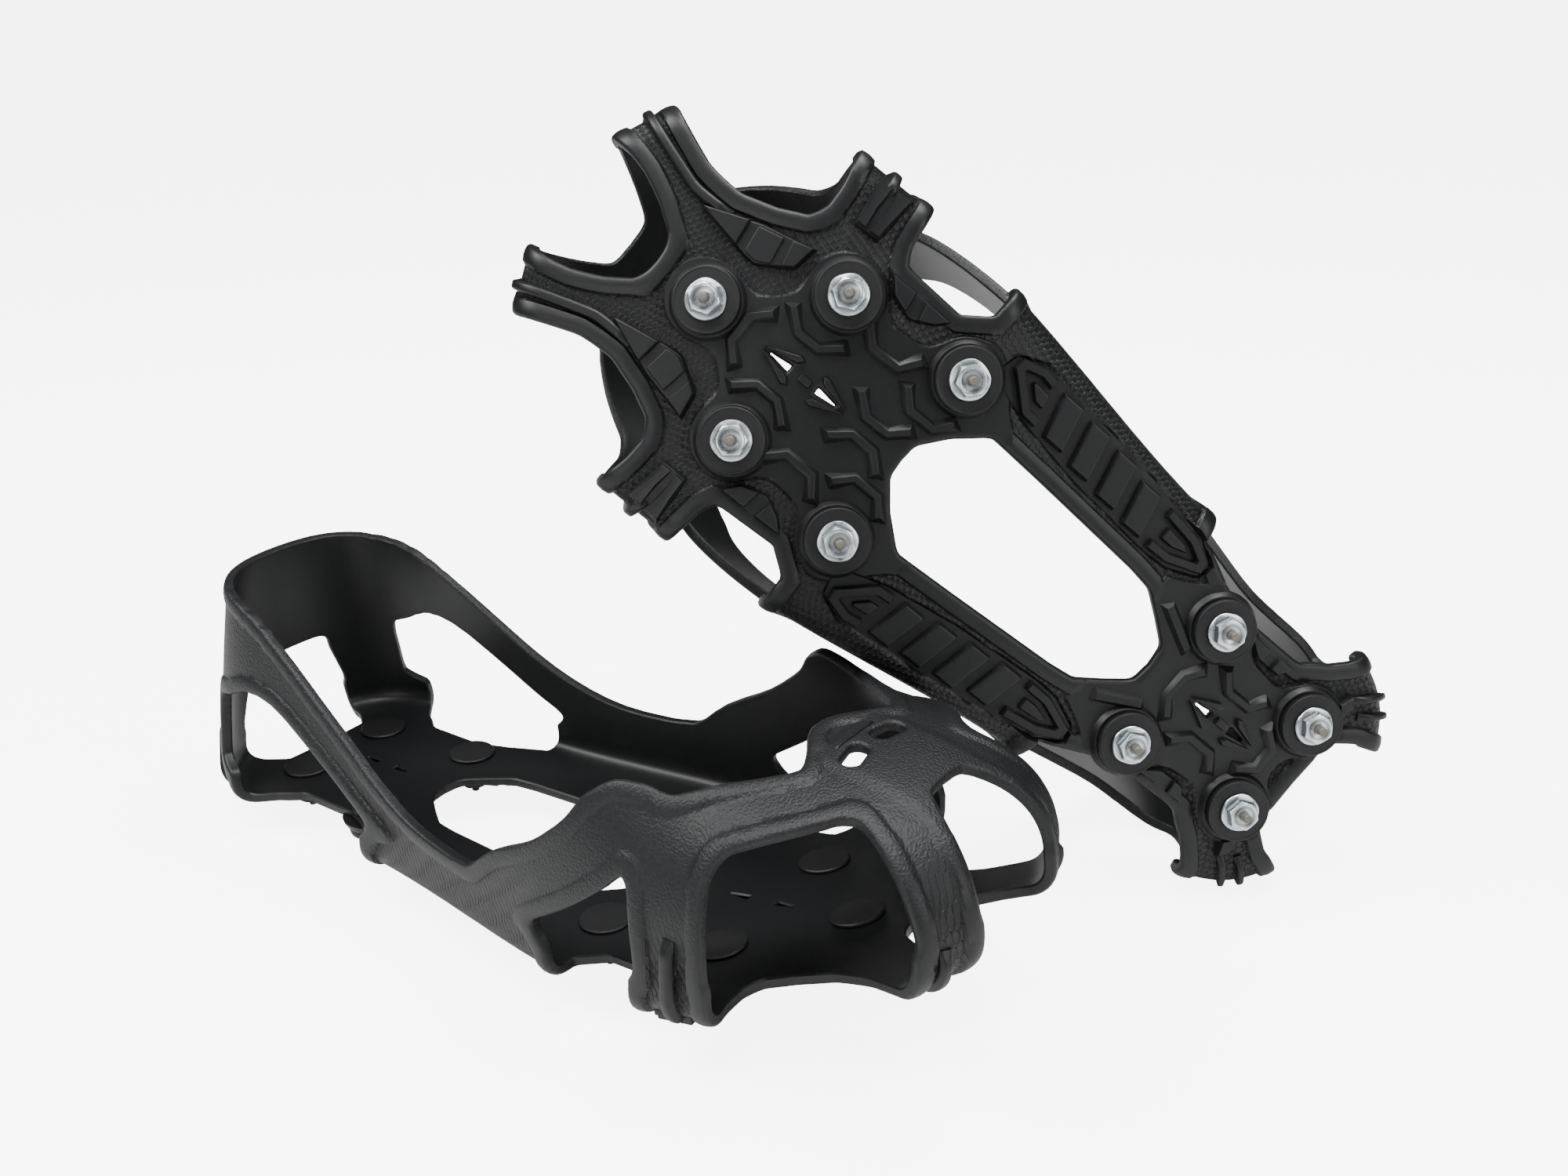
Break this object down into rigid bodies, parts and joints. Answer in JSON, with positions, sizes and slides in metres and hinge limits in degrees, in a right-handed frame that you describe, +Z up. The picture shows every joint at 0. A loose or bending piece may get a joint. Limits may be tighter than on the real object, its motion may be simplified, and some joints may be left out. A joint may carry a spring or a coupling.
{
  "type": "shoe ice cleats",
  "caption": "Pair of stretch rubber harnesses for boots, with ice studs under forefoot and heel: one stands on its studs, the other leans with its sole outwards.",
  "frame": {"origin": "centre of the pair's bounding box on the floor", "axes": "+X along the standing cleat towards its toe, +Y to its left, +Z up"},
  "size_m": [0.3756, 0.2728, 0.255],
  "materials": {
    "harness_rubber": "matt moulded rubber",
    "sling_rubber": "matt moulded rubber",
    "base_plastic": "matt black plastic",
    "zinc_steel": "bright zinc plate",
    "carbide": "dull ground carbide"
  },
  "bodies": {
    "front_cleat": {"front_harness": "harness_rubber", "front_toe_stud_base": "base_plastic", "front_toe_hex_stud": "zinc_steel", "front_toe_carbide_pin": "carbide", "front_ball_left_stud_base": "base_plastic", "front_ball_left_hex_stud": "zinc_steel", "front_ball_left_carbide_pin": "carbide", "front_ball_right_stud_base": "base_plastic", "front_ball_right_hex_stud": "zinc_steel", "front_ball_right_carbide_pin": "carbide", "front_mid_left_stud_base": "base_plastic", "front_mid_left_hex_stud": "zinc_steel", "front_mid_left_carbide_pin": "carbide", "front_mid_right_stud_base": "base_plastic", "front_mid_right_hex_stud": "zinc_steel", "front_mid_right_carbide_pin": "carbide", "front_waist_left_stud_base": "base_plastic", "front_waist_left_hex_stud": "zinc_steel", "front_waist_left_carbide_pin": "carbide", "front_waist_right_stud_base": "base_plastic", "front_waist_right_hex_stud": "zinc_steel", "front_waist_right_carbide_pin": "carbide", "front_heel_left_stud_base": "base_plastic", "front_heel_left_hex_stud": "zinc_steel", "front_heel_left_carbide_pin": "carbide", "front_heel_right_stud_base": "base_plastic", "front_heel_right_hex_stud": "zinc_steel", "front_heel_right_carbide_pin": "carbide"},
    "front_sling": {"front_heel_sling": "sling_rubber"},
    "leaning_cleat": {"leaning_harness": "harness_rubber", "leaning_toe_stud_base": "base_plastic", "leaning_toe_hex_stud": "zinc_steel", "leaning_toe_carbide_pin": "carbide", "leaning_ball_left_stud_base": "base_plastic", "leaning_ball_left_hex_stud": "zinc_steel", "leaning_ball_left_carbide_pin": "carbide", "leaning_ball_right_stud_base": "base_plastic", "leaning_ball_right_hex_stud": "zinc_steel", "leaning_ball_right_carbide_pin": "carbide", "leaning_mid_left_stud_base": "base_plastic", "leaning_mid_left_hex_stud": "zinc_steel", "leaning_mid_left_carbide_pin": "carbide", "leaning_mid_right_stud_base": "base_plastic", "leaning_mid_right_hex_stud": "zinc_steel", "leaning_mid_right_carbide_pin": "carbide", "leaning_waist_left_stud_base": "base_plastic", "leaning_waist_left_hex_stud": "zinc_steel", "leaning_waist_left_carbide_pin": "carbide", "leaning_waist_right_stud_base": "base_plastic", "leaning_waist_right_hex_stud": "zinc_steel", "leaning_waist_right_carbide_pin": "carbide", "leaning_heel_left_stud_base": "base_plastic", "leaning_heel_left_hex_stud": "zinc_steel", "leaning_heel_left_carbide_pin": "carbide", "leaning_heel_right_stud_base": "base_plastic", "leaning_heel_right_hex_stud": "zinc_steel", "leaning_heel_right_carbide_pin": "carbide"},
    "leaning_sling": {"leaning_heel_sling": "sling_rubber"}
  },
  "joints": [
    {"name": "leaning_lift", "type": "slide", "parent": "front_cleat", "child": "leaning_cleat", "axis": [0, 0, 1], "range_m": [0, 0.3]},
    {"name": "front_sling_stretch", "type": "hinge", "parent": "front_cleat", "child": "front_sling", "pos_m": [-0.19173, -0.07057, 0.0225], "axis": [0, -1, 0], "range_deg": [0, 25], "stiffness_Nm_per_rad": 4},
    {"name": "leaning_sling_stretch", "type": "hinge", "parent": "leaning_cleat", "child": "leaning_sling", "pos_m": [0.17701, 0.07698, 0.02176], "axis": [-0.4006, -0.5499, -0.7329], "range_deg": [0, 25], "stiffness_Nm_per_rad": 4}
  ]
}
